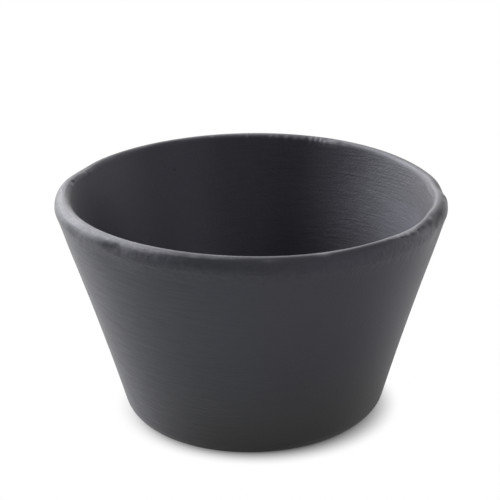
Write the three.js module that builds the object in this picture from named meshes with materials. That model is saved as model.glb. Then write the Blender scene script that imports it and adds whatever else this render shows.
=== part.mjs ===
// Ramekin: one small flared ceramic dish, fired in one piece, with a hand-shaped lip.
// Millimetres, +Z up. The dish stands on its foot ring at z = 0 with its axis on Z; the front is -Y.
import * as THREE from "three";

// Main sizes
const rimRadius = 43;
const height = 51;
const footRadius = 24.5;
const footCornerRadius = 5.3;
const wallThickness = 3.45;
const wallHollow = 0.35;
const floorThickness = 4;
const floorFilletRadius = 9;

// Rolled lip: how far its rounding reaches down outside and inside, and where its crest lies
const lipShoulderHeight = 2.5;
const lipInnerHeight = 1.6;
const lipCrestShare = 0.64;

// Shallow recess under the floor, inside the foot ring
const footRingWidth = 4.4;
const recessDepth = 0.8;
const recessBevel = 1.2;

// Hand-made wander of the rim and the foot: an amount, and the angle in degrees where it is largest
const rimOffset = { amount: 0.41, angle: 0 };
const rimTilt = { amount: 0.2, angle: 180 };
const rimSaddle = { amount: 0.2, angle: 90 };
const rimOval = { amount: 0.08, angle: 125 };
const rimThreeSided = { amount: 0.36, angle: 62 };
const footOffset = { amount: 0.64, angle: 0 };
const footOval = { amount: 0.47, angle: 51 };

// Thumb marks on the lip: centre and half width in degrees, push outward and upward
const lipMarks = [
  { angle: 3, halfWidth: 5, outward: -0.33, upward: -0.1 },
  { angle: 14, halfWidth: 6, outward: 0.1, upward: 0 },
  { angle: 157, halfWidth: 7, outward: -0.05, upward: -0.2 },
  { angle: 172, halfWidth: 8, outward: 0.2, upward: 0.05 },
  { angle: 311, halfWidth: 9, outward: 0, upward: 0.15 },
];
const lipMarkReach = 9;

// Fineness of the mesh
const segments = 96;
const cornerSteps = 6;
const wallSteps = 7;
const shoulderSteps = 9;
const lipInnerSteps = 5;
const filletSteps = 7;

const ceramic = new THREE.MeshStandardMaterial({
  color: 0x3c3c3f,
  roughness: 0.72,
  metalness: 0,
});

const radians = THREE.MathUtils.degToRad;

// Points on an arc or a quarter of an ellipse, angles measured from +r towards +z
function arcPoints(r, z, radiusR, radiusZ, from, to, steps) {
  return Array.from({ length: steps + 1 }, (_, i) => {
    const angle = THREE.MathUtils.lerp(from, to, i / steps);
    return new THREE.Vector2(r + radiusR * Math.cos(angle), z + radiusZ * Math.sin(angle));
  });
}

// The outer wall is tangent to the foot corner and to the lip, so its lean is found by repeating
function outerWall(lipRadial) {
  const crest = new THREE.Vector2(rimRadius - lipRadial, height - lipShoulderHeight);
  let lean = 0;
  let bottom;
  let top;
  let lipEnd;
  for (let pass = 0; pass < 12; pass += 1) {
    lipEnd = Math.atan2(lipShoulderHeight * Math.sin(lean), lipRadial * Math.cos(lean));
    bottom = new THREE.Vector2(
      footRadius + footCornerRadius * Math.cos(lean),
      footCornerRadius * (1 - Math.sin(lean)),
    );
    top = new THREE.Vector2(
      crest.x + lipRadial * Math.cos(lipEnd),
      crest.y - lipShoulderHeight * Math.sin(lipEnd),
    );
    lean = Math.atan2(top.x - bottom.x, top.y - bottom.y);
  }
  return { lean, lipEnd, crest, bottom, top };
}

// The section from the middle of the underside, up the outside, over the lip and down to the floor
function sectionPoints() {
  const firstLean = Math.atan2(rimRadius - footRadius, height);
  const lipWidth = wallThickness / Math.cos(firstLean);
  const lipOuter = lipWidth * lipCrestShare;
  const lipInner = lipWidth - lipOuter;
  const wall = outerWall(lipOuter);
  const quarter = Math.PI / 2;

  const recessRadius = footRadius - footRingWidth;
  const underside = [
    new THREE.Vector2(0, recessDepth),
    new THREE.Vector2(recessRadius - recessBevel, recessDepth),
    new THREE.Vector2(recessRadius, 0),
  ];
  const corner = arcPoints(
    footRadius, footCornerRadius, footCornerRadius, footCornerRadius, -quarter, -wall.lean, cornerSteps,
  );

  const outside = [];
  for (let i = 1; i < wallSteps; i += 1) {
    const share = i / wallSteps;
    const point = wall.bottom.clone().lerp(wall.top, share);
    point.x -= wallHollow * 4 * share * (1 - share);
    outside.push(point);
  }

  const shoulder = arcPoints(
    wall.crest.x, wall.crest.y, lipOuter, lipShoulderHeight, -wall.lipEnd, quarter, shoulderSteps,
  );
  const innerEnd = Math.PI - Math.atan2(lipInnerHeight * Math.sin(wall.lean), lipInner * Math.cos(wall.lean));
  const inner = arcPoints(
    wall.crest.x, height - lipInnerHeight, lipInner, lipInnerHeight, quarter, innerEnd, lipInnerSteps,
  );

  const lipFoot = inner[inner.length - 1];
  const floorHeight = recessDepth + floorThickness;
  const filletHeight = floorHeight + floorFilletRadius;
  const wallAtFillet = lipFoot.x - (lipFoot.y - filletHeight) * Math.tan(wall.lean);
  const filletCentre = wallAtFillet - floorFilletRadius / Math.cos(wall.lean);
  const fillet = arcPoints(
    filletCentre, filletHeight, floorFilletRadius, floorFilletRadius, -wall.lean, -quarter, filletSteps,
  );
  const inside = [];
  for (let i = 1; i < wallSteps; i += 1) {
    const share = i / wallSteps;
    const point = lipFoot.clone().lerp(fillet[0], share);
    point.x -= wallHollow * 4 * share * (1 - share);
    inside.push(point);
  }

  return [
    ...underside,
    ...corner,
    ...outside,
    ...shoulder,
    ...inner.slice(1),
    ...inside,
    ...fillet,
    new THREE.Vector2(0, floorHeight),
  ];
}

// A wave with so many lobes round the dish, largest at its own angle
function wave(wander, lobes, angle) {
  return wander.amount * Math.cos(lobes * (angle - radians(wander.angle)));
}

// Where a point of the section lands at one angle, once the rim and the foot have wandered
function place(point, angle) {
  const rise = point.y / height;
  const lip = THREE.MathUtils.smoothstep(point.y, height - lipMarkReach, height);
  let rimOutward = wave(rimOffset, 1, angle) + wave(rimOval, 2, angle) + wave(rimThreeSided, 3, angle);
  let upward = (wave(rimTilt, 1, angle) + wave(rimSaddle, 2, angle)) * rise * rise;
  for (const mark of lipMarks) {
    const away = Math.atan2(Math.sin(angle - radians(mark.angle)), Math.cos(angle - radians(mark.angle)));
    const strength = lip * Math.exp(-((away / radians(mark.halfWidth)) ** 2));
    rimOutward += mark.outward * strength;
    upward += mark.upward * strength;
  }
  const footOutward = wave(footOffset, 1, angle) + wave(footOval, 2, angle);
  const stretch = 1 + (rimOutward * rise) / rimRadius + (footOutward * (1 - rise)) / footRadius;
  const radius = point.x * stretch;
  return [radius * Math.cos(angle), radius * Math.sin(angle), point.y + upward];
}

// A closed turned surface: one ring of points for each section point, and one point at each pole
function turnedGeometry(section) {
  const rings = section.slice(1, -1);
  const positions = [];
  for (const point of rings) {
    for (let j = 0; j < segments; j += 1) positions.push(...place(point, (j / segments) * 2 * Math.PI));
  }
  const firstPole = rings.length * segments;
  const lastPole = firstPole + 1;
  positions.push(0, 0, section[0].y);
  positions.push(0, 0, section[section.length - 1].y);

  const index = [];
  const lastRing = (rings.length - 1) * segments;
  for (let j = 0; j < segments; j += 1) {
    const next = (j + 1) % segments;
    index.push(firstPole, next, j);
    index.push(lastPole, lastRing + j, lastRing + next);
    for (let i = 0; i < rings.length - 1; i += 1) {
      const low = i * segments;
      const high = low + segments;
      index.push(low + j, low + next, high + j);
      index.push(low + next, high + next, high + j);
    }
  }
  const geometry = new THREE.BufferGeometry();
  geometry.setAttribute("position", new THREE.Float32BufferAttribute(positions, 3));
  geometry.setIndex(index);
  geometry.computeVertexNormals();
  return geometry;
}

const body = new THREE.Mesh(turnedGeometry(sectionPoints()), ceramic);
body.name = "ramekin_body";

const ramekin = new THREE.Group();
ramekin.name = "ramekin";
ramekin.add(body);

export default ramekin;
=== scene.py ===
"""Ramekin: one small flared dish of dark fired clay with a soft lip that was shaped by hand.

Metres, +Z up. The dish stands on its foot ring at z = 0 with its axis on Z and its front towards -Y, just where
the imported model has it. Its shape is one turned section that is carried round the axis, pushed in and out by
slow waves, and then pressed and raised a little wherever a finger or a tool touched the soft lip.
"""

import logging
import math
from collections.abc import Mapping, Sequence
from dataclasses import dataclass
from functools import reduce

import bpy
import numpy as np
from mathutils import Euler, Matrix, Vector


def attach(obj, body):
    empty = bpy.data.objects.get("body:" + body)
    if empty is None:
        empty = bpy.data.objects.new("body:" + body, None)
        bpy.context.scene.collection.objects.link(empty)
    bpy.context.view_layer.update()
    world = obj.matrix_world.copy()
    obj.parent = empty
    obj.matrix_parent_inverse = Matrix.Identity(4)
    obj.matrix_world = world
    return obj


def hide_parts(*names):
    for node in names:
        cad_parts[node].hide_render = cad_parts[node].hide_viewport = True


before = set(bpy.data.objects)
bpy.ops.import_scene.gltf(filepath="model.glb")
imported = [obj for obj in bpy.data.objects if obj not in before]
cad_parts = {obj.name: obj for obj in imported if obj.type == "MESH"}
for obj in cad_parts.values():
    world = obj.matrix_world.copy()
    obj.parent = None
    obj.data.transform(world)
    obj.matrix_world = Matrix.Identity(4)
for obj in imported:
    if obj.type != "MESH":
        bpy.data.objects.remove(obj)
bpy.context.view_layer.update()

MM = 0.001
NOT_ZERO = 1e-6  # added to a length that something is divided by

Array = np.ndarray
Colour = Point = tuple[float, float, float]
Pair = tuple[float, float]
Span = Pair  # the value at which a smooth step is 0 and the one at which it is 1; either may be the larger

logging.basicConfig(level=logging.INFO, format="%(message)s")
log = logging.getLogger("ramekin")


class Wire:
    """One output socket that Python's operators work on; each result adds one Math node."""

    def __init__(self, bench: "NodeBench", socket: bpy.types.NodeSocket) -> None:
        """Keeps the socket and the bench that it belongs to."""
        self.bench = bench
        self.socket = socket

    def _maths(self, operation: str, *values: "Wire | float") -> "Wire":
        """Adds one Math node.

        Args:
            operation: the node's operation, such as ADD.
            values: the wires or numbers that go into it, in order.

        Returns:
            The node's result.
        """
        return self.bench.add("ShaderNodeMath", {"operation": operation}, dict(enumerate(values)))

    def __add__(self, other: "Wire | float") -> "Wire":
        """This plus the other."""
        return self._maths("ADD", self, other)

    def __radd__(self, other: float) -> "Wire":
        """The number plus this."""
        return self._maths("ADD", other, self)

    def __sub__(self, other: "Wire | float") -> "Wire":
        """This less the other."""
        return self._maths("SUBTRACT", self, other)

    def __mul__(self, other: "Wire | float") -> "Wire":
        """This times the other."""
        return self._maths("MULTIPLY", self, other)

    def __truediv__(self, other: "Wire | float") -> "Wire":
        """This divided by the other."""
        return self._maths("DIVIDE", self, other)

    def __pow__(self, other: "Wire | float") -> "Wire":
        """This to the power of the other."""
        return self._maths("POWER", self, other)

    def larger(self, other: "Wire | float") -> "Wire":
        """The larger of this and the other."""
        return self._maths("MAXIMUM", self, other)

    def ramp(self, low: float, high: float) -> "Wire":
        """A smooth step of this value.

        Args:
            low: the value at which the step is 0.
            high: the value at which the step is 1; it may be the smaller of the two.

        Returns:
            The step, which leaves 0 and reaches 1 without a kink.
        """
        ends = {"Value": self, "From Min": low, "From Max": high}
        return self.bench.add("ShaderNodeMapRange", {"interpolation_type": "SMOOTHSTEP"}, ends)


class NodeBench:
    """Builds the node tree of one material or world from nothing."""

    def __init__(self, owner: bpy.types.Material | bpy.types.World) -> None:
        """Turns the owner's nodes on, empties its tree and keeps it."""
        owner.use_nodes = True
        self.tree = owner.node_tree
        self.tree.nodes.clear()

    def add(
        self,
        kind: str,
        settings: Mapping[str, object] | None = None,
        inputs: Mapping[str | int, object] | None = None,
        output: str | int = 0,
    ) -> Wire:
        """Adds a node.

        Args:
            kind: the node's type.
            settings: the node's own properties, which are set first.
            inputs: a number, colour or wire for each socket that isn't left as it is.
            output: the socket that the caller wants.

        Returns:
            That output as a wire.
        """
        node = self.tree.nodes.new(kind)
        for name, value in (settings or {}).items():
            setattr(node, name, value)
        for key, value in (inputs or {}).items():
            if isinstance(value, Wire):
                self.tree.links.new(value.socket, node.inputs[key])
            else:
                node.inputs[key].default_value = value
        return Wire(self, node.outputs[output] if len(node.outputs) else None)

    def split(self, vector: Wire) -> tuple[Wire, Wire, Wire]:
        """The three parts of a vector."""
        node = self.add("ShaderNodeSeparateXYZ", inputs={0: vector}).socket.node
        return tuple(Wire(self, socket) for socket in node.outputs)

    def join(self, x: Wire | float, y: Wire | float, z: Wire | float) -> Wire:
        """A vector from its three parts."""
        return self.add("ShaderNodeCombineXYZ", inputs={0: x, 1: y, 2: z})

    def scale(self, vector: Wire, factor: Wire | float) -> Wire:
        """A vector or a colour times a number."""
        return self.add("ShaderNodeVectorMath", {"operation": "SCALE"}, {0: vector, "Scale": factor})

    def noise(self, where: Wire, detail: float = 2.0, rough: float = 0.5) -> Wire:
        """Soft noise about 0.

        Args:
            where: the point, in cells of the noise.
            detail: how many finer layers lie on the first.
            rough: how strong each finer layer is beside the last.

        Returns:
            The noise, mostly between -0.5 and 0.5.
        """
        sockets = {"Vector": where, "Scale": 1.0, "Detail": detail, "Roughness": rough}
        return self.add("ShaderNodeTexNoise", {"noise_dimensions": "3D"}, sockets) - 0.5

    def rays(self, *kinds: str) -> Wire:
        """1 for a ray of any of those kinds, which are outputs of the Light Path node, and otherwise 0."""
        found = [self.add("ShaderNodeLightPath", output=kind) for kind in kinds]
        return reduce(Wire.larger, found)

    def blend(self, share: Wire, first: Wire | Colour, second: Wire | Colour) -> Wire:
        """Mixes two colours.

        Args:
            share: 0 for the first colour and 1 for the second.
            first: a colour.
            second: a colour.

        Returns:
            The mixed colour.
        """
        pair = [c if isinstance(c, Wire) else (*c, 1.0) for c in (first, second)]
        return self.add(
            "ShaderNodeMix",
            {"data_type": "RGBA", "clamp_factor": True},
            {0: share, 6: pair[0], 7: pair[1]},
            output=2,
        )


@dataclass(frozen=True)
class Place:
    """Where a point of the dish lies, as wires.

    Across runs over the lip in metres from the crest, above 0 outside and below 0 inside. Wear and painted light is
    the share of the lip's colour of rubbed wear and painted highlight, or, below 0, the strength of a painted
    shade.
    Both are attributes of the dish. The rest comes from Object coordinates: the height, the distance from the axis,
    and the direction from the axis as its parts along X and Y, each between -1 and 1.
    """

    bench: NodeBench
    point: Wire
    across: Wire
    wear_and_painted_light: Wire
    z: Wire
    radius: Wire
    round_x: Wire
    round_y: Wire

    @classmethod
    def read(cls, bench: NodeBench) -> "Place":
        """Adds the nodes that the wires come from.

        Args:
            bench: the material's bench.

        Returns:
            The place, which keeps the bench too.
        """
        point = bench.add("ShaderNodeTexCoord", output="Object")
        across = bench.add("ShaderNodeAttribute", {"attribute_name": "across"}, output="Fac")
        wear_and_painted_light = bench.add("ShaderNodeAttribute", {"attribute_name": "wear_and_painted_light"}, output="Fac")
        x, y, z = bench.split(point)
        radius = (x * x + y * y) ** 0.5 + NOT_ZERO
        return cls(bench, point, across, wear_and_painted_light, z, radius, x / radius, y / radius)


@dataclass(frozen=True)
class Patch:
    """A part of the dish with soft edges, and how strongly it takes something.

    Each span goes with the name of one of the wires in Place. The patch is the product of their smooth steps.
    """

    spans: Sequence[tuple[str, Span]]
    share: float = 1.0

    def over(self, place: Place) -> Wire:
        """The patch's strength at a point: its share in the middle and 0 beyond its edges."""
        steps = [getattr(place, name).ramp(*span) for name, span in self.spans]
        return reduce(Wire.__mul__, steps) * self.share

    @staticmethod
    def total(patches: Sequence["Patch"], place: Place) -> Wire:
        """The sum of some patches at a point."""
        return reduce(Wire.__add__, [patch.over(place) for patch in patches])


INSIDE = ("across", (-0.3 * MM, -1.5 * MM))
OUTSIDE = ("across", (-1.5 * MM, -0.3 * MM))
WALL = ("radius", (12 * MM, 24 * MM))
UNDER_LIP = (("across", (1.8 * MM, 3.2 * MM)), ("across", (7.0 * MM, 4.5 * MM)))


@dataclass(frozen=True)
class Tint:
    """A colour that the clay takes in one patch."""

    colour: Colour
    patch: Patch


@dataclass(frozen=True)
class Speckle:
    """Noise that is alike in every direction: its cell in metres, its finer layers, and how strong each one is."""

    cell: float
    detail: float
    rough: float

    def over(self, place: Place) -> Wire:
        """The noise at a point, mostly between -0.5 and 0.5."""
        return place.bench.noise(place.bench.scale(place.point, 1 / self.cell), self.detail, self.rough)


@dataclass(frozen=True)
class Texture:
    """The noises at a place, mostly between -0.5 and 0.5, and how strong the rings, the pit and the painted shade
    are.
    """

    grain: Wire
    cloud: Wire
    dabs: Wire
    rings: Wire
    wide_rings: Wire
    brush: Wire
    ringed: Wire
    pit: Wire
    painted_shade: Wire


@dataclass(frozen=True)
class FiredClay:
    """Dark clay fired without a glaze: matt, finely grained, ringed by turning, pale on the lip from wear and
    painted highlight.

    A depth is how high a noise stands, or how deep the pit is, in metres. A tone is how much something lightens
    or darkens the colour, as a share of it. Something that dulls adds to the roughness.
    """

    # The colours: ashy clay, and over it a warm right side, the inside, a less blue band low on the outer wall that
    # fades out at the far left, and a painted highlight on the inner wall at the right
    ashy: Colour = (0.035, 0.0369, 0.0433)
    tints: Sequence[Tint] = (
        Tint((0.0348, 0.0322, 0.0416), Patch((("round_x", (-0.1, 0.4)),))),
        Tint((0.0365, 0.036, 0.046), Patch((INSIDE,))),
        # A less blue band low on the outer wall, fading out at the far left
        Tint(
            (0.037, 0.0372, 0.0325),
            Patch((OUTSIDE, WALL, ("z", (29 * MM, 4 * MM)), ("round_x", (-0.95, -0.3)))),
        ),
        # Painted highlight: a lighter, bluer patch where the light falls on the inner wall at the right
        Tint(
            (0.085, 0.085, 0.111),
            Patch((INSIDE, WALL, ("across", (-5 * MM, -12 * MM)), ("round_x", (0.76, 0.95)))),
        ),
    )
    # The lip's pale colour: partly rubbed wear, partly a painted highlight where the light falls on the lip
    wear_and_highlight_colour: Colour = (0.28, 0.28, 0.305)
    scuffed: Colour = (0.085, 0.083, 0.08)

    # Painted shade: darker places under the lip in front and at the right, where the lip overhangs the wall, and
    # two on the inner wall at the right, above and below the painted highlight there
    painted_shades: Sequence[Patch] = (
        Patch((*UNDER_LIP, ("round_y", (-0.5, -0.8)), ("round_x", (0.5, 0.1))), 0.25),
        Patch((*UNDER_LIP, ("round_y", (-0.15, -0.3)), ("round_x", (0.82, 0.92))), 0.3),
        Patch((INSIDE, ("across", (-10 * MM, -5 * MM)), ("round_x", (0.45, 0.7))), 0.2),
        Patch((INSIDE, WALL, ("across", (-15 * MM, -24 * MM)), ("round_x", (0.3, 0.55))), 0.22),
    )

    # The gloss, its fine grooves and the dust on it, and what dulls it
    roughness: float = 0.5
    specular: float = 0.7
    gloss_tint: Colour = (0.84, 0.85, 1.0)
    grooved: float = 0.8
    groove_turn: float = 0.25
    dust: float = 0.16
    dust_roughness: float = 0.5
    grain_dulls: float = 0.1
    cloud_dulls: float = 0.08
    foot_dulls: float = 0.2
    # Where there is painted shade, the gloss is duller too
    painted_shade_dulls: float = 0.7

    # Grain in the clay, clouds of tone, and the dabs of a finger under the lip
    grain: Speckle = Speckle(0.5 * MM, 3.0, 0.6)
    cloud: Speckle = Speckle(9 * MM, 3.0, 0.55)
    dabs: Speckle = Speckle(1.3 * MM, 1.0, 0.5)
    rough_side: Patch = Patch((INSIDE, ("round_x", (0.3, 0.8))))
    collar: Patch = Patch((("across", (1.0 * MM, 2.5 * MM)), ("across", (9.0 * MM, 4.0 * MM))))
    grain_depth: float = 48e-6
    dab_depth: float = 130e-6
    grain_tone: float = 0.4
    collar_tone: float = 0.3
    cloud_tone: float = 0.25
    dab_tone: float = 0.5

    # Rings that turning left: fine ones, and wide ones whose number is a share of theirs. The slant is how far they
    # lie above level at +X and at +Y on the inside, and they drift up and down by a share of a fine ring's cell
    rim_radius: float = 41 * MM
    ring_cell: float = 0.38 * MM
    ring_run: float = 7 * MM
    ring_slant: Pair = (-2.7 * MM, 3.2 * MM)
    slant_from: Span = (0.4 * MM, -0.8 * MM)
    drift_round: float = 2.0
    drift_over: float = 16 * MM
    drift_share: float = 0.8
    wide_share: float = 0.2
    ring_depth: float = 60e-6

    # How strong the rings are: all over the inside with more to the right, then all over the outside with more to
    # the left
    ringed: Sequence[Patch] = (
        Patch((INSIDE,), 0.2),
        Patch((INSIDE, ("round_x", (-0.7, 0.3))), 0.25),
        Patch((INSIDE, ("round_x", (0.3, 0.8))), 0.72),
        Patch((OUTSIDE,), 0.12),
        Patch((OUTSIDE, ("round_x", (0.4, -0.6))), 0.75),
        Patch((OUTSIDE, ("round_x", (-0.5, -0.9))), 0.8),
    )

    # Short strokes over the lip, and how clouds, strokes and dabs break up the lip's colour of wear and painted
    # highlight
    lip: Patch = Patch((("across", (3.0 * MM, 0.8 * MM)), ("across", (-3.0 * MM, -0.8 * MM))))
    brush_cell: float = 0.3 * MM
    brush_length: float = 2.5 * MM
    brush_depth: float = 18e-6
    frayed_from: Span = (0.2 * MM, 1.2 * MM)
    mottle_clouded: float = 0.8
    mottle_brushed: float = 0.5
    mottle_frayed: float = 1.5

    # The scuffed ring that the dish stands on, and the pit in its inner wall
    foot: Patch = Patch((("z", (0.5 * MM, 0.1 * MM)), ("radius", (19.5 * MM, 21 * MM))))
    scuffing: float = 0.7
    pit: Point = (-18.35 * MM, 32.26 * MM, 44.78 * MM)
    pit_reach: float = 0.7 * MM
    pit_depth: float = 0.08 * MM
    pit_tone: float = 0.5

    def material(self) -> bpy.types.Material:
        """Makes the finish.

        Returns:
            The material, which reads the wires of a Place and nothing else.
        """
        made = bpy.data.materials.new("fired_clay")
        bench = NodeBench(made)
        place = Place.read(bench)
        texture = self._texture(place)
        shine = texture.grain * self.grain_dulls + texture.cloud * self.cloud_dulls + self.roughness
        shine = shine + self.foot.over(place) * self.foot_dulls + texture.painted_shade * self.painted_shade_dulls
        relief = {"Strength": 1.0, "Distance": 1.0, "Height": self._height(place, texture)}
        sockets = {
            "Base Color": self._colour(place, texture),
            "Roughness": shine,
            "Specular IOR Level": self.specular,
            "Specular Tint": (*self.gloss_tint, 1.0),
            "Anisotropic": self.grooved,
            "Anisotropic Rotation": self.groove_turn,
            "Sheen Weight": self.dust,
            "Sheen Roughness": self.dust_roughness,
            "Normal": bench.add("ShaderNodeBump", None, relief),
        }
        surface = bench.add("ShaderNodeBsdfPrincipled", None, sockets)
        bench.add("ShaderNodeOutputMaterial", None, {"Surface": surface})
        return made

    def _texture(self, place: Place) -> Texture:
        """Adds the noises, with the rings level outside and aslant inside, and the pit.

        Args:
            place: where the point lies.

        Returns:
            All of them as wires.
        """
        drift = self._strokes(place, self.drift_round, place.across * (1 / self.drift_over))
        slant = place.round_x * self.ring_slant[0] + place.round_y * self.ring_slant[1]
        aslant = place.across + slant * place.across.ramp(*self.slant_from)
        ring_at = aslant * (1 / self.ring_cell) + drift * self.drift_share
        rings_round, brush_round = self.rim_radius / self.ring_run, self.rim_radius / self.brush_cell
        ends = {0: place.point, 1: self.pit}
        pit_away = place.bench.add("ShaderNodeVectorMath", {"operation": "DISTANCE"}, ends, output="Value")
        return Texture(
            grain=self.grain.over(place),
            cloud=self.cloud.over(place),
            dabs=self.dabs.over(place),
            rings=self._strokes(place, rings_round, ring_at),
            wide_rings=self._strokes(place, rings_round, ring_at * self.wide_share, detail=1.0),
            brush=self._strokes(place, brush_round, place.across * (1 / self.brush_length)),
            ringed=Patch.total(self.ringed, place),
            pit=pit_away.ramp(self.pit_reach, 0.0),
            # Painted shade: where the lip's share of wear and painted light falls below 0
            painted_shade=(place.wear_and_painted_light * -1.0).larger(0.0),
        )

    @staticmethod
    def _strokes(place: Place, cells_round: float, cell_over: Wire, detail: float = 2.0) -> Wire:
        """Noise in strokes: long ones that run round the dish, or short ones over its lip.

        Args:
            place: where the point lies.
            cells_round: how many cells of the noise there are in one radian round the dish.
            cell_over: how many cells the point lies from the crest over the lip.
            detail: how many finer layers lie on the first.

        Returns:
            The noise, mostly between -0.5 and 0.5.
        """
        where = place.bench.join(place.round_x * cells_round, place.round_y * cells_round, cell_over)
        return place.bench.noise(where, detail)

    def _height(self, place: Place, texture: Texture) -> Wire:
        """Adds up the fine relief.

        Args:
            place: where the point lies.
            texture: the noises there.

        Returns:
            How high the relief stands, in metres.
        """
        height = (texture.rings + texture.wide_rings) * texture.ringed * self.ring_depth
        height = height + texture.grain * (self.rough_side.over(place) + 1.0) * self.grain_depth
        height = height + texture.brush * self.lip.over(place) * self.brush_depth
        height = height + texture.dabs * self.collar.over(place) * self.dab_depth
        return height - texture.pit * self.pit_depth

    def _colour(self, place: Place, texture: Texture) -> Wire:
        """Mixes the colour.

        Args:
            place: where the point lies.
            texture: the noises there.

        Returns:
            The colour: the tints one over the other, one of them a painted highlight, the lip's colour of rubbed
                wear
            and painted highlight, the tone over both with its painted shade, and the scuffed foot.
        """
        bench, colour = place.bench, self.ashy
        for tint in self.tints:
            colour = bench.blend(tint.patch.over(place), colour, tint.colour)
        # The lip's colour of rubbed wear and painted highlight, broken up by clouds, strokes and dabs
        frayed = texture.dabs * place.across.ramp(*self.frayed_from) * self.mottle_frayed
        lip_mottle = 1.0 + texture.cloud * self.mottle_clouded + texture.brush * self.mottle_brushed + frayed
        colour = bench.blend(place.wear_and_painted_light * lip_mottle, colour, self.wear_and_highlight_colour)

        collar = self.collar.over(place)
        tone = 1.0 + texture.grain * (collar * self.collar_tone + self.grain_tone) + texture.cloud * self.cloud_tone
        tone = tone + texture.rings * texture.ringed + texture.dabs * collar * self.dab_tone
        # Painted shade: the darker patches, and the places where the lip's marks fall below 0
        tone = tone - Patch.total(self.painted_shades, place) - texture.painted_shade - texture.pit * self.pit_tone
        scuffing = self.foot.over(place) * (texture.grain + self.scuffing)
        return bench.blend(scuffing, bench.scale(colour, tone), self.scuffed)


@dataclass(frozen=True)
class Wander:
    """A slow wave round the dish: its size in metres, its lobes, and the angle where it is largest."""

    amount: float
    degrees: float
    lobes: int

    def at(self, angles: Array) -> Array:
        """The wave at each angle: amount times the cosine of lobes times the angle from its crest."""
        return self.amount * np.cos(self.lobes * (angles - math.radians(self.degrees)))


@dataclass(frozen=True)
class Touch:
    """A broad press on the soft lip: its angle and half width in degrees, its push outward and upward."""

    degrees: float
    half_width: float
    outward: float
    upward: float

    def strength(self, angles: Array) -> Array:
        """A bell over the angle: e to the minus square of the angle away over the half width."""
        away = np.angle(np.exp(1j * (angles - math.radians(self.degrees))))
        return np.exp(-((away / math.radians(self.half_width)) ** 2))


@dataclass(frozen=True)
class LipStation:
    """How the lip is shaped and rubbed at one angle, in degrees.

    The crest's share is of the lip's width, counted from outside. The tuck is how far the wall is drawn in just
    under the lip. The band of rubbed wear and painted highlight runs from so far inside the crest to so far
    outside it, and its share is how much of that colour it takes. The line is a fine line of the same colour at a
    distance from the crest, above 0 outside it, and the edge is its share of the colour. Lengths are metres.
    """

    degrees: float
    crest_share: float
    tuck: float
    wear_and_highlight_from: float
    wear_and_highlight_to: float
    wear_and_highlight_share: float
    line_at: float
    edge: float

    @classmethod
    def rows(cls, *rows: tuple[float, ...]) -> tuple["LipStation", ...]:
        """Stations from rows of their numbers in order, with the lengths in millimetres."""
        return tuple(
            cls(degrees, share, tuck * MM, start * MM, end * MM, wear_and_highlight_share, line * MM, edge)
            for degrees, share, tuck, start, end, wear_and_highlight_share, line, edge in rows
        )


@dataclass(frozen=True)
class Nick:
    """A small dent or blob: where it lies, how far it reaches, and how far it stands out of the surface.

    The place is an angle in degrees and a distance over the lip from its crest, positive outside. The reach is
    half a width along the rim and half a width across it, and a height below 0 is a dent. Sizes are metres. The
    share is how much more of the lip's colour of rubbed wear and painted highlight it has than the lip about it;
    below 0 it takes that much away as painted shade, and where nothing is left it is a painted shade that also
    dulls the gloss.
    """

    degrees: float
    across: float
    half_along: float
    half_across: float
    height: float
    wear_and_highlight_share: float = 0.0

    @classmethod
    def rows(cls, *rows: tuple[float, ...]) -> tuple["Nick", ...]:
        """Nicks from rows of their numbers in order, with the sizes in millimetres and a share of 0 where a row
        gives none.
        """
        return tuple(cls(row[0], *(size * MM for size in row[1:5]), *row[5:]) for row in rows)

    def bell(self, across: Array, angles: Array, radius: float) -> Array:
        """Works out the nick's strength: e to the minus squares of the distances over the half widths.

        Args:
            across: each point's distance over the lip from the crest.
            angles: each column's angle.
            radius: distance of the lip from the axis.

        Returns:
            The strength at each point, 1 in the middle.
        """
        along = np.angle(np.exp(1j * (angles - math.radians(self.degrees)))) * radius / self.half_along
        aside = (across - self.across) / self.half_across
        return np.exp(-(aside**2) - along**2)


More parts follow.
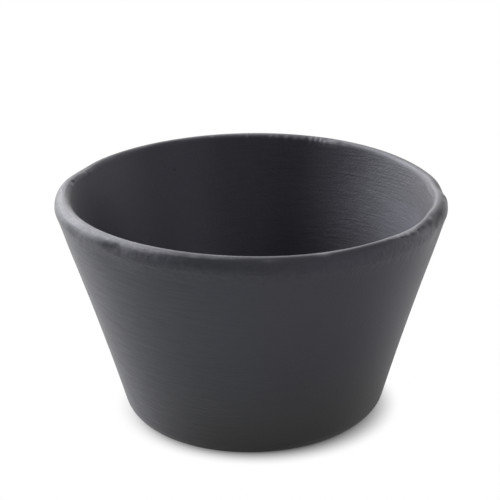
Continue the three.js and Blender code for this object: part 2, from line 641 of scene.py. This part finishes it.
STATIONS = LipStation.rows(
    (0, 0.56, 0, 0.8, 1, 0.5, -0.15, 0.5),
    (10, 0.58, 0, 0.8, 0.5, 0.42, -0.4, 0.3),
    (20, 0.6, 0, 1, 0.3, 0.4, -0.65, 0.4),
    (32, 0.62, 0, 1.4, 0.3, 0.4, -0.75, 0.4),
    (45, 0.62, 0, 1.4, 0.6, 0.42, -0.5, 0.35),
    (60, 0.6, 0, 2.2, 1, 0.5, -0.4, 0.4),
    (75, 0.63, 0, 1.4, 0.8, 0.3, -0.2, 0.25),
    (90, 0.63, 0, 1.3, 0.8, 0.35, -0.15, 0.65),
    (103, 0.64, 0, 1.2, 0.8, 0.25, -0.15, 0.45),
    (125, 0.64, 0, 1.2, 0.8, 0.2, -0.15, 0.4),
    (145, 0.64, 0, 1.4, 0.8, 0.2, -0.15, 0.1),
    (165, 0.64, 0.05, 1.7, 1.4, 0.28, -0.15, 0.1),
    (182, 0.64, 0.1, 1.7, 2.2, 0.33, -0.15, 0),
    (198, 0.64, 0.2, 1, 2.4, 0.24, -0.15, 0),
    (212, 0.62, 0.2, 1, 2.2, 0.4, -0.15, 0),
    (225, 0.62, 0.28, 1.2, 2, 0.52, -0.15, 0.05),
    (238, 0.59, 0.28, 1.2, 2.2, 0.62, -0.15, 0.1),
    (250, 0.57, 0.27, 1, 1.6, 0.5, -0.1, 0.2),
    (260, 0.57, 0.22, 1, 1.4, 0.45, -0.1, 0.3),
    (272, 0.57, 0.18, 0.8, 0.9, 0.2, -0.1, 0.35),
    (282, 0.57, 0.08, 0.8, 0.7, 0.15, -0.1, 0.35),
    (291, 0.6, 0.08, 0.8, 0.8, 0.3, -0.1, 0.55),
    (301, 0.62, 0.08, 0.8, 0.5, 0.2, -0.25, 0.65),
    (311, 0.6, 0.08, 0.8, 0.7, 0.3, -0.15, 0.6),
    (320, 0.57, 0.05, 0.8, 1.4, 0.75, -0.1, 0.4),
    (329, 0.61, 0.12, 0.8, 0.5, 0.15, -0.4, 0.6),
    (341, 0.64, 0.2, 0.9, 0.8, 0.3, -0.35, 0.65),
    (351, 0.61, 0.05, 0.9, 0.9, 0.45, -0.35, 0.55),
)

# The last number of a row is its share of the lip's colour of rubbed wear and painted highlight; below 0 it is
# painted shade
NICKS = Nick.rows(
    # the soft flat on the inner edge, with a torn spot, two beads and a scratch beside it
    (179, -1.0, 7.0, 0.8, -0.2),
    (170.5, -0.6, 0.6, 0.4, -0.24, -0.4),
    (173.2, -1.1, 0.6, 0.5, 0.12, 0.3),
    (161, -0.7, 0.7, 0.35, 0.12, 0.3),
    (159.4, -1.3, 0.5, 0.4, -0.1, -0.2),
    # the squarer shoulder at the left front, the pinch under it, its patches of painted shade and two beads
    (210, 2.0, 11, 0.9, 0.12),
    (212, 4.1, 13, 1.1, -0.2),
    (227.6, 2.5, 2.0, 0.8, -0.18, -0.2),
    (230.1, 1.8, 1.2, 0.7, -0.13, -0.4),
    (221, 3.8, 2.2, 1.0, -0.07),
    (232, 3.3, 1.4, 0.9, -0.09, -0.1),
    (228, 6.2, 5.5, 2.4, -0.3),
    (225.5, 2.6, 2.8, 0.8, 0, -0.37),
    (208, 3.4, 4.0, 1.1, 0, -0.42),
    (233.2, 3.1, 0.8, 0.5, 0.05, 0.08),
    (232.5, 2.6, 1.2, 0.8, -0.08),
    (234.6, 0.8, 0.5, 0.35, 0.04, 0.15),
    (236.5, 5.6, 0.35, 0.3, 0.05, 0.2),
    # beads along the front of the crest
    (275, 1.3, 1.5, 0.3, 0.03, 0.15),
    (290, 0.6, 1.3, 0.45, 0.08, 0.45),
    # the ragged edge at the right front
    (309.6, 0.5, 0.4, 0.3, 0.03, 0.2),
    (311.2, 0.8, 0.35, 0.25, -0.07, -0.2),
    (312.9, 0.6, 0.5, 0.3, 0.04, 0.25),
    (314.9, 0.45, 0.5, 0.35, 0.08, 0.7),
    (315.9, 0.95, 0.4, 0.3, -0.1, -0.55),
    (316.6, 0.5, 0.4, 0.35, 0.04, 0.5),
    (317.5, 1.05, 0.45, 0.3, -0.09, -0.5),
    (318.5, 0.75, 0.45, 0.35, 0.06, 0.45),
    (319.5, 0.5, 0.4, 0.3, 0.04, 0.4),
    (320.3, 1.2, 0.5, 0.35, -0.12, -0.35),
    (321.6, 0.6, 0.5, 0.4, 0.05, 0.35),
    (322.9, 1.15, 0.2, 0.2, 0.05, 0.35),
    (322.6, 1.6, 0.2, 0.2, 0.04, 0.25),
    (323.7, 0.3, 0.4, 0.35, 0.05, 0.4),
    (324.2, 1.0, 0.45, 0.35, -0.12, -0.35),
    (326.4, 1.1, 0.7, 0.4, -0.1, -0.25),
    # the step, the swelling, the ridge and the hollow on the right, and the spots of rubbed wear and painted
    # highlight and of painted shade there
    (330.9, 1.3, 1.4, 0.7, -0.14, -0.3),
    (338, -0.4, 3.4, 0.9, 0.26),
    (356.5, 2.0, 1.8, 1.2, 0.14),
    (351, 1.5, 1.6, 0.5, 0.16, 0.2),
    (338, 3.3, 4.4, 1.6, -0.42),
    (338, 5.4, 4.6, 3.4, -0.28),
    (2, 1.3, 2.4, 0.7, -0.16),
    (326.5, 2.3, 3.5, 1.1, 0, 0.13),
    (334.2, 0.5, 0.9, 0.4, 0, 0.6),
    (340.5, 1.8, 3.2, 0.9, -0.05, -0.4),
    (335.5, 2.8, 1.8, 1.0, -0.05, -0.6),
    # the patch of rubbed wear and painted highlight on the far edge, and the row of small ticks beside it
    (54.3, -0.9, 0.8, 0.6, 0, -0.2),
    (57.8, -0.9, 0.8, 0.6, -0.05, -0.3),
    (60.5, -1.1, 1.2, 0.5, 0.09, 0.95),
    (61.2, -0.4, 0.4, 0.3, -0.08, -0.3),
    (62.9, -0.5, 0.4, 0.4, -0.12, -0.35),
    (63.4, -1.3, 0.5, 0.4, 0.04, 0.8),
    (64.2, -0.7, 0.3, 0.7, -0.11, -0.25),
    (65.0, -0.9, 0.35, 0.6, 0.05, 0.6),
    (65.8, -0.8, 0.35, 0.8, -0.14, -0.4),
    (66.6, -0.9, 0.35, 0.6, 0.05, 0.5),
    (67.6, -0.8, 0.4, 0.8, -0.12, -0.25),
    (68.5, -0.9, 0.4, 0.7, 0.05, 0.65),
    (69.9, -0.8, 0.4, 0.8, -0.08, -0.2),
    (71.6, -0.9, 0.5, 0.5, 0, 0.3),
    (74.2, -1.0, 0.6, 0.5, 0, 0.35),
    (77.4, -0.9, 0.5, 0.6, 0.04, 0.5),
    (80.8, -0.8, 0.5, 0.6, 0, 0.35),
    (82.9, -0.8, 0.4, 0.6, 0, 0.35),
    (90.1, -0.5, 0.35, 0.6, -0.14, -0.3),
    (90.9, -0.7, 0.35, 0.6, 0.04, 0.5),
    (103.4, -0.5, 0.6, 0.4, 0, 0.4),
)


def arc(centre: Pair, radii: Pair, start: float, stop: float, steps: int) -> Array:
    """Part of an ellipse in the section.

    Each point is the centre plus the first radius times the cosine and the second times the sine of the angle.

    Args:
        centre: distance from the axis and height.
        radii: half the ellipse's width and half its height.
        start: first angle, from outward towards up.
        stop: last angle.
        steps: number of steps between them.

    Returns:
        The points, one row of distance and height for each.
    """
    angles = np.linspace(start, stop, steps + 1)
    return np.stack([centre[0] + radii[0] * np.cos(angles), centre[1] + radii[1] * np.sin(angles)], 1)


def hollow_line(start: Array, stop: Array, hollow: float, steps: int, even: float = 1.0) -> Array:
    """A straight run that is drawn towards the axis in its middle by a parabola.

    Args:
        start: first point.
        stop: last point.
        hollow: how far the middle is drawn in.
        steps: number of steps; the end points aren't in the result.
        even: 1 for even steps. Below 1 this share of each step is even and the rest grows with the cube, so the
            steps are finer near the start.

    Returns:
        The points between the two ends.
    """
    counted = np.linspace(0, 1, steps + 1)[1:-1, None]
    share = counted * even + counted**3 * (1 - even)
    return start + (stop - start) * share - np.array([[hollow, 0.0]]) * 4 * share * (1 - share)


def eased_corner(before: Array, corner: Array, after: Array, reach: float, steps: int) -> Array:
    """A corner rounded by a parabola that leaves one side and joins the other at a given reach.

    Args:
        before: a point on the side that comes in.
        corner: the sharp corner.
        after: a point on the side that goes out.
        reach: distance from the corner at which the rounding starts and ends.
        steps: number of steps in it.

    Returns:
        The rounded points.
    """
    first = corner + (before - corner) / np.linalg.norm(before - corner) * reach
    last = corner + (after - corner) / np.linalg.norm(after - corner) * reach
    share = np.linspace(0, 1, steps + 1)[:, None]
    return first * (1 - share) ** 2 + corner * 2 * share * (1 - share) + last * share**2


def stand(name: str, data: bpy.types.ID) -> bpy.types.Object:
    """Puts a mesh, a lamp or a camera into the scene.

    Args:
        name: the object's name.
        data: what it shows.

    Returns:
        The object, at the origin.
    """
    made = bpy.data.objects.new(name, data)
    bpy.context.scene.collection.objects.link(made)
    return made


def smooth_step(share: Array) -> Array:
    """0 below 0 and 1 above 1, and between them three times the square less twice the cube."""
    held = np.clip(share, 0, 1)
    return held * held * (3 - 2 * held)


@dataclass(frozen=True)
class DishSection:
    """The turned section, from the middle of the underside over the lip to the middle of the floor."""

    rim_radius: float = 43 * MM
    height: float = 51 * MM
    foot_radius: float = 24.5 * MM
    foot_corner: float = 5.3 * MM
    wall_thickness: float = 3.45 * MM
    wall_hollow: float = 0.35 * MM
    floor_thickness: float = 4 * MM
    floor_fillet: float = 9 * MM
    shoulder_height: float = 2.5 * MM
    inner_height: float = 1.6 * MM
    ring_width: float = 4.4 * MM
    recess_depth: float = 0.8 * MM
    recess_bevel: float = 1.2 * MM
    worn_edge: float = 0.25 * MM

    # How finely each run is drawn. An even share below 1 makes the steps finer near the lip
    lean_passes: int = 12
    recess_steps: int = 4
    edge_steps: int = 3
    ring_steps: int = 3
    corner_steps: int = 10
    outside_steps: int = 26
    outside_even: float = 0.38
    shoulder_steps: int = 22
    inner_steps: int = 12
    inside_steps: int = 18
    inside_even: float = 0.4
    fillet_steps: int = 10
    floor_steps: int = 5

    def outer_wall(self, lip_radial: float) -> tuple[float, float, float, Array, Array, Array]:
        """Finds the wall that touches both the foot's corner and the lip, by repeating until its lean settles.

        Args:
            lip_radial: distance from the lip's crest out to its outermost line.

        Returns:
            The wall's lean, how much more it leans at its top and less at its bottom for being hollow, the angle
            below level at which the lip ends, the centre of the lip's outer rounding, and the wall's lowest and
            highest points.
        """
        centre = np.array([self.rim_radius - lip_radial, self.height - self.shoulder_height])
        lean = bow = 0.0
        for _ in range(self.lean_passes):
            top, bottom = lean + bow, lean - bow
            end = math.atan2(self.shoulder_height * math.sin(top), lip_radial * math.cos(top))
            low = np.array([
                self.foot_radius + self.foot_corner * math.cos(bottom),
                self.foot_corner * (1 - math.sin(bottom)),
            ])
            high = centre + np.array([lip_radial * math.cos(end), -self.shoulder_height * math.sin(end)])
            lean = math.atan2(high[0] - low[0], high[1] - low[1])
            bow = 4 * self.wall_hollow / math.dist(high, low)
        return lean, bow, end, centre, low, high

    def points(self, crest_share: float) -> tuple[Array, int]:
        """Draws the section.

        The outside is a ring to stand on, a quarter arc, a slightly hollow wall and half an ellipse over the
        lip. The inside is a second, flatter ellipse down from the crest, a wall beside the outer one, an arc
        and a flat floor.

        Args:
            crest_share: where the lip's crest lies, as a share of the lip's width from outside.

        Returns:
            Rows of distance from the axis and height, and the number of the row on the lip's crest.
        """
        first_lean = math.atan2(self.rim_radius - self.foot_radius, self.height)
        lip_width = self.wall_thickness / math.cos(first_lean)
        lip_outer = lip_width * crest_share
        lip_inner = lip_width - lip_outer
        lean, bow, lip_end, lip_centre, low, high = self.outer_wall(lip_outer)
        quarter = math.pi / 2

        recess = self.foot_radius - self.ring_width
        middle = np.array([0.0, self.recess_depth])
        shelf = np.array([recess - self.recess_bevel, self.recess_depth])
        heel = np.array([recess, 0.0])
        toe = np.array([self.foot_radius, 0.0])
        under = [
            hollow_line(middle, shelf, 0.0, self.recess_steps),
            eased_corner(middle, shelf, heel, self.worn_edge, self.edge_steps),
            eased_corner(shelf, heel, toe, self.worn_edge, self.edge_steps),
            hollow_line(heel, toe, 0.0, self.ring_steps)[1:],
        ]
        corner_centre, corner_radii = (self.foot_radius, self.foot_corner), (self.foot_corner, self.foot_corner)
        corner = arc(corner_centre, corner_radii, -quarter, bow - lean, self.corner_steps)
        outside = hollow_line(high, low, self.wall_hollow, self.outside_steps, self.outside_even)[::-1]
        lip_radii = (lip_outer, self.shoulder_height)
        shoulder = arc(tuple(lip_centre), lip_radii, -lip_end, quarter, self.shoulder_steps)

        top = lean + bow
        inner_end = math.pi - math.atan2(self.inner_height * math.sin(top), lip_inner * math.cos(top))
        inner_centre = (lip_centre[0], self.height - self.inner_height)
        inner = arc(inner_centre, (lip_inner, self.inner_height), quarter, inner_end, self.inner_steps)[1:]
        floor_height = self.recess_depth + self.floor_thickness
        fillet_height = floor_height + self.floor_fillet
        wall_there = inner[-1, 0] - (inner[-1, 1] - fillet_height) * math.tan(lean)
        fillet_centre = (wall_there - self.floor_fillet / math.cos(lean), fillet_height)
        fillet_radii = (self.floor_fillet, self.floor_fillet)
        fillet = arc(fillet_centre, fillet_radii, bow - lean, -quarter, self.fillet_steps)
        wall = hollow_line(inner[-1], fillet[0], self.wall_hollow, self.inside_steps, self.inside_even)
        floor = hollow_line(fillet[-1], np.array([0.0, floor_height]), 0.0, self.floor_steps)

        before = [middle[None], *under, corner, outside, shoulder]
        after = [inner, wall, fillet, floor, np.array([[0.0, floor_height]])]
        return np.concatenate(before + after), sum(map(len, before)) - 1


@dataclass(frozen=True)
class RamekinDish:
    """The whole dish: its section, the wander of its rim and foot, the marks on its lip, and its finish."""

    section: DishSection = DishSection()
    finish: FiredClay = FiredClay()
    rim_waves: Sequence[Wander] = (Wander(0.41 * MM, 0, 1), Wander(0.08 * MM, 125, 2), Wander(0.36 * MM, 62, 3))
    lift_waves: Sequence[Wander] = (Wander(0.2 * MM, 180, 1), Wander(0.2 * MM, 90, 2))
    foot_waves: Sequence[Wander] = (Wander(0.64 * MM, 0, 1), Wander(0.47 * MM, 51, 2))
    touches: Sequence[Touch] = (
        Touch(3, 5, -0.33 * MM, -0.1 * MM),
        Touch(14, 6, 0.1 * MM, 0),
        Touch(157, 7, -0.05 * MM, -0.2 * MM),
        Touch(172, 8, 0.2 * MM, 0.05 * MM),
        Touch(311, 9, 0, 0.15 * MM),
    )
    touch_reach: float = 9 * MM
    stations: Sequence[LipStation] = STATIONS
    station_reach: float = 6.0
    tuck_at: float = 5.7 * MM
    tuck_half: float = 1.7 * MM
    tuck_fade: float = 4 * MM
    band_fade: Pair = (0.6, 0.5)
    line_half: float = 0.35 * MM
    nicks: Sequence[Nick] = NICKS
    columns: int = 840

    def along_lip(self, name: str, angles: Array) -> Array:
        """Averages one of the stations' numbers at each angle, each station weighed by a bell of its distance.

        Args:
            name: the number's field.
            angles: each column's angle.

        Returns:
            The number at each angle.
        """
        turn = angles[:, None] - np.radians([station.degrees for station in self.stations])
        weight = np.exp(-((np.angle(np.exp(1j * turn)) / math.radians(self.station_reach)) ** 2))
        return weight @ np.array([getattr(station, name) for station in self.stations]) / weight.sum(1)

    def surface(self) -> tuple[Array, Array, Array]:
        """Works out the dish's surface on a grid.

        A point of the section at distance r and height z goes, at angle a, to (r s cos a, r s sin a, z + u).
        The stretch s is 1 plus the rim's waves times z over the dish's height, plus the foot's waves times
        what is left of that height, each over its own radius. The lift u is the tilt of the rim times the
        square of that height. The section itself lies between one with its crest far out and one with its
        crest far in. Touches work on the lip alone, and each nick moves the surface along its normal by a
        bell of its distance along and across the lip.

        Returns:
            The points as rows by columns by three, each point's distance over the lip from the crest, and how
            much of the lip's colour of rubbed wear and painted highlight it takes, below 0 for a painted shade.
        """
        angles = np.arange(self.columns) * (2 * math.pi / self.columns)
        shares = self.along_lip("crest_share", angles)
        first, last = shares.min(), shares.max()
        crest_out, crest = self.section.points(first)
        crest_in, _ = self.section.points(last)
        part = ((shares - first) / (last - first))[None, :, None]
        points = crest_out[:, None] * (1 - part) + crest_in[:, None] * part

        run = np.cumsum(np.linalg.norm(np.diff(points, axis=0, prepend=points[:1]), axis=2), axis=0)
        across = run[crest] - run
        rise = points[..., 1] / self.section.height
        lip = smooth_step((points[..., 1] - self.section.height + self.touch_reach) / self.touch_reach)

        rim_out = sum(wave.at(angles) for wave in self.rim_waves)
        upward = sum(wave.at(angles) for wave in self.lift_waves) * rise**2
        for touch in self.touches:
            rim_out = rim_out + touch.outward * lip * touch.strength(angles)
            upward = upward + touch.upward * lip * touch.strength(angles)
        foot_out = sum(wave.at(angles) for wave in self.foot_waves)
        stretch = 1 + rim_out * rise / self.section.rim_radius + foot_out * (1 - rise) / self.section.foot_radius

        slope = np.gradient(points, axis=0)
        slope /= np.linalg.norm(slope, axis=2)[..., None]
        push, wear_and_painted_light = self._marks(across, angles)
        radius = points[..., 0] * stretch + slope[..., 1] * push
        level = points[..., 1] + upward - slope[..., 0] * push
        grid = np.stack([radius * np.cos(angles), radius * np.sin(angles), level], 2)
        return grid, across, wear_and_painted_light

    def _marks(self, across: Array, angles: Array) -> tuple[Array, Array]:
        """Adds up the marks on the lip: the tuck under it, the band of rubbed wear and painted highlight, the fine
        line and the nicks.

        Args:
            across: each point's distance over the lip from the crest.
            angles: each column's angle.

        Returns:
            How far each point moves along its normal, and its share of the lip's colour of rubbed wear and painted
            highlight, which below 0 is the strength of a painted shade that also dulls the gloss.
        """
        half = np.where(across < self.tuck_at, self.tuck_half, self.tuck_fade)
        push = -self.along_lip("tuck", angles) * np.exp(-(((across - self.tuck_at) / half) ** 2))
        # The band and the fine line of rubbed wear and painted highlight on the lip
        start, end = self.along_lip("wear_and_highlight_from", angles), self.along_lip("wear_and_highlight_to", angles)
        fade_in, fade_out = start * self.band_fade[0], end * self.band_fade[1]
        band = smooth_step((start + across) / fade_in) * smooth_step((end - across) / fade_out)
        line = np.exp(-(((across - self.along_lip("line_at", angles)) / self.line_half) ** 2))
        wear_and_painted_light = self.along_lip("wear_and_highlight_share", angles) * band + self.along_lip("edge", angles) * line
        spots = np.zeros_like(across)
        for nick in self.nicks:
            bell = nick.bell(across, angles, self.section.rim_radius)
            push += nick.height * bell
            spots += nick.wear_and_highlight_share * bell
        return push, wear_and_painted_light + spots

    def build(self) -> bpy.types.Object:
        """Makes the dish's mesh, closed at both poles, with its faces outward.

        Returns:
            The dish's object, at the origin.
        """
        grid, across, wear_and_painted_light = self.surface()
        rings = grid[1:-1]
        rows, columns = rings.shape[:2]
        count = rows * columns
        vertices = np.concatenate([rings.reshape(-1, 3), grid[0, :1], grid[-1, :1]])

        here = np.arange(count).reshape(rows, columns)
        beside = np.roll(here, -1, axis=1)
        quads = np.stack([here[:-1], beside[:-1], beside[1:], here[1:]], 2).reshape(-1, 4)
        under = np.stack([np.full(columns, count), beside[0], here[0]], 1)
        floor = np.stack([np.full(columns, count + 1), here[-1], beside[-1]], 1)
        corners = np.concatenate([quads.ravel(), under.ravel(), floor.ravel()])
        lengths = np.concatenate([np.full(len(quads), 4), np.full(2 * columns, 3)])

        mesh = bpy.data.meshes.new("ramekin_dish")
        mesh.vertices.add(len(vertices))
        mesh.vertices.foreach_set("co", vertices.astype(np.float32).ravel())
        mesh.loops.add(len(corners))
        mesh.loops.foreach_set("vertex_index", corners.astype(np.int32))
        mesh.polygons.add(len(lengths))
        mesh.polygons.foreach_set("loop_start", (np.cumsum(lengths) - lengths).astype(np.int32))
        mesh.polygons.foreach_set("use_smooth", np.ones(len(lengths), dtype=bool))
        mesh.update(calc_edges=True)
        mesh.validate()

        # The share of wear and painted light goes to the material as an attribute
        for name, values in {"across": across, "wear_and_painted_light": wear_and_painted_light}.items():
            flat = np.concatenate([values[1:-1].ravel(), values[[0, -1], 0]])
            mesh.attributes.new(name, "FLOAT", "POINT").data.foreach_set("value", flat.astype(np.float32))
        return stand("ramekin_dish", mesh)

    def dress(self, dish: bpy.types.Object) -> None:
        """Gives the dish its finish and its place in the frame.

        Args:
            dish: the dish's object.
        """
        dish.data.materials.append(self.finish.material())
        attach(dish, "root")
        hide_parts("ramekin_body")


@dataclass(frozen=True)
class SoftPanel:
    """A soft panel of light that faces the dish: where it stands, how large it is, and how bright its face is.

    The azimuth is counted from +X towards +Y and the elevation upwards, both in degrees as seen from the dish.
    """

    name: str
    azimuth: float
    elevation: float
    width: float
    height: float
    radiance: float
    distance: float = 1.35
    aim: float = 40 * MM

    def hang(self) -> None:
        """Hangs the panel. Its power is its radiance times pi times its area."""
        lamp = bpy.data.lights.new(self.name, "AREA")
        lamp.shape = "RECTANGLE"
        lamp.size, lamp.size_y = self.width, self.height
        lamp.energy = self.radiance * math.pi * self.width * self.height
        turn, climb = math.radians(self.azimuth), math.radians(self.elevation)
        away = Vector((math.cos(turn) * math.cos(climb), math.sin(turn) * math.cos(climb), math.sin(climb)))
        held = stand(self.name, lamp)
        held.location = away * self.distance + Vector((0, 0, self.aim))
        held.rotation_euler = (-away).to_track_quat("-Z", "Y").to_euler()


@dataclass(frozen=True)
class Studio:
    """A white floor that runs into a white background, and the soft panels about it."""

    floor_half: float = 3.0
    floor_colour: Colour = (0.8, 0.8, 0.8)
    shadow_middle: Pair = (1.2 * MM, -0.8 * MM)
    shadow_stretch: float = 1.05
    shadow_fade: Span = (23.6 * MM, 31.4 * MM)
    shadow_lift: float = 0.02
    mirrored_from: Span = (85 * MM, 240 * MM)
    dome_dim: float = 0.05
    dome_back: Span = (-0.35, 0.1)
    dome_low: Span = (0.5, 0.2)
    panels: Sequence[SoftPanel] = (
        SoftPanel("key_panel", 141, 28, 1.9, 0.45, 5.9),
        SoftPanel("key_low_panel", 135, 10, 1.5, 0.36, 1.9),
        SoftPanel("key_high_panel", 145, 48, 1.5, 0.45, 2.8),
        SoftPanel("left_panel", 200, 32, 0.9, 0.7, 0.9),
        SoftPanel("right_panel", 15, 32, 1.0, 0.45, 1.62),
        SoftPanel("right_front_panel", 325, 32, 0.8, 0.45, 2.15),
        SoftPanel("front_panel", 280, 32, 1.0, 0.45, 0.75),
        SoftPanel("top_panel", 0, 90, 0.7, 0.7, 1.08),
    )

    def lay_floor(self) -> bpy.types.Object:
        """Lays the floor, a flat square just under the dish.

        Returns:
            The floor's object.
        """
        half = self.floor_half
        corners = [(-half, -half, 0), (half, -half, 0), (half, half, 0), (-half, half, 0)]
        mesh = bpy.data.meshes.new("studio_floor")
        mesh.from_pydata(corners, [], [(0, 1, 2, 3)])
        mesh.materials.append(self._floor_paint())
        floor = stand("studio_floor", mesh)
        return floor

    def _floor_paint(self) -> bpy.types.Material:
        """Makes white paint that the camera sees go over into the white background away from the dish.

        Returns:
            The paint.
        """
        paint = bpy.data.materials.new("studio_white")
        bench = NodeBench(paint)
        x, y, _ = bench.split(bench.add("ShaderNodeTexCoord", output="Object"))
        distance = (x * x + y * y) ** 0.5
        aside = (x - self.shadow_middle[0]) * (1 / self.shadow_stretch)
        forward = y - self.shadow_middle[1]
        away = ((aside * aside + forward * forward) ** 0.5).ramp(*self.shadow_fade)
        camera = bench.rays("Is Camera Ray") * (away * (1 - self.shadow_lift) + self.shadow_lift)
        mirrored = bench.rays("Is Glossy Ray", "Is Transmission Ray") * distance.ramp(*self.mirrored_from)
        share = camera + mirrored
        paper = bench.add("ShaderNodeBsdfDiffuse", None, {"Color": (*self.floor_colour, 1.0)})
        white = bench.add("ShaderNodeEmission", None, {"Color": (1.0, 1.0, 1.0, 1.0), "Strength": 1.0})
        both = bench.add("ShaderNodeMixShader", None, {0: share, 1: paper, 2: white})
        bench.add("ShaderNodeOutputMaterial", None, {"Surface": both})
        return paint

    def raise_dome(self) -> None:
        """Makes the world: plain white to look at, and otherwise white at the back and dim in front and above."""
        world = bpy.data.worlds.new("studio_dome")
        bpy.context.scene.world = world
        bench = NodeBench(world)
        _, forward, up = bench.split(bench.add("ShaderNodeTexCoord", output="Generated"))
        behind = forward.ramp(*self.dome_back) * up.ramp(*self.dome_low)
        camera, mirrored = bench.rays("Is Camera Ray"), bench.rays("Is Glossy Ray", "Is Transmission Ray")
        seen = camera.larger(mirrored * behind)
        strength = seen.larger(behind * (1 - self.dome_dim) + self.dome_dim)
        white = bench.add("ShaderNodeBackground", None, {"Color": (1.0, 1.0, 1.0, 1.0), "Strength": strength})
        bench.add("ShaderNodeOutputWorld", None, {"Surface": white})

    def light(self) -> None:
        """Hangs every panel."""
        for panel in self.panels:
            panel.hang()


@dataclass(frozen=True)
class PhotoCamera:
    """The camera at the photograph's viewing angle."""

    aim: Point = (-0.182 * MM, 0.0, 36.669 * MM)
    distance: float = 350 * MM
    elevation: float = 21.331
    roll: float = -0.397
    lens: float = 113.29
    sensor: float = 36.0
    clip: Pair = (0.01, 20.0)

    def place(self) -> bpy.types.Object:
        """Sets the camera up, looking level with the front and down by the elevation, a little rolled.

        Returns:
            The camera's object.
        """
        lens = bpy.data.cameras.new("photo_camera")
        lens.lens = self.lens
        lens.sensor_fit = "HORIZONTAL"
        lens.sensor_width = self.sensor
        lens.clip_start, lens.clip_end = self.clip
        tilt = math.radians(self.elevation)
        back = Vector((0, -math.cos(tilt), math.sin(tilt)))
        camera = stand("photo_camera", lens)
        turned = Euler((math.pi / 2 - tilt, 0, 0)).to_matrix() @ Matrix.Rotation(math.radians(self.roll), 3, "Z")
        camera.matrix_world = Matrix.Translation(Vector(self.aim) + back * self.distance) @ turned.to_4x4()
        bpy.context.scene.camera = camera
        return camera


def main() -> None:
    """Builds the dish, the studio and the camera."""
    dish = RamekinDish()
    body = dish.build()
    dish.dress(body)
    log.info("%s: %d vertices, %d faces", body.name, len(body.data.vertices), len(body.data.polygons))

    studio = Studio()
    floor = studio.lay_floor()
    studio.raise_dome()
    studio.light()
    log.info("%s, a dome and %d panels", floor.name, len(studio.panels))

    camera = PhotoCamera().place()
    bpy.context.scene.view_settings.view_transform = "Standard"
    log.info("%s: lens %.1f mm", camera.name, camera.data.lens)


if __name__ == "__main__":
    main()
